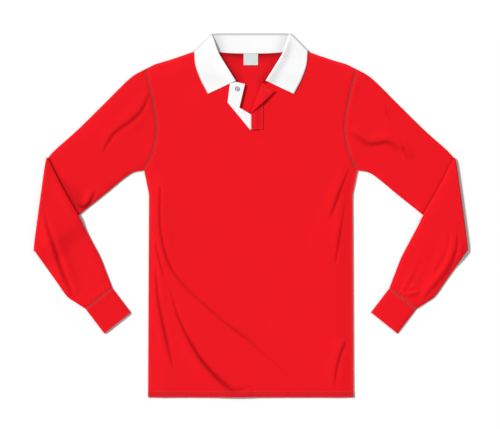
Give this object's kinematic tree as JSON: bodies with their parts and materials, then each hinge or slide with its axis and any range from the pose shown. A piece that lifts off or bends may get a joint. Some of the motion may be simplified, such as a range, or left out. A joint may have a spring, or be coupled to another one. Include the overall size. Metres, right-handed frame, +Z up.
{
  "type": "football shirt",
  "caption": "Long-sleeved football shirt laid flat, with a white fold-over collar, open button placket, sleeves folded over at the elbow and plain cuffs.",
  "frame": {"origin": "middle of the shirt's outline, on the surface that it lies on", "axes": "+Z up from the surface, +Y from the hem towards the neck, +X towards the sleeve on the right as seen from above"},
  "size_m": [0.9538, 0.8, 0.0093],
  "materials": {
    "red_jersey": "cotton jersey, matt",
    "red_rib": "cotton rib, matt",
    "white_cotton": "cotton twill, matt",
    "label_cloth": "woven label, soft sheen",
    "grey_button": "moulded, satin"
  },
  "bodies": {
    "root": {"back": "red_jersey", "front": "red_jersey", "sleeve_left": "red_jersey", "sleeve_right": "red_jersey", "cuff_left": "red_rib", "cuff_right": "red_rib", "placket_over": "red_jersey", "collar": "white_cotton", "placket_under": "white_cotton", "neck_label": "label_cloth", "button": "grey_button"}
  },
  "joints": []
}
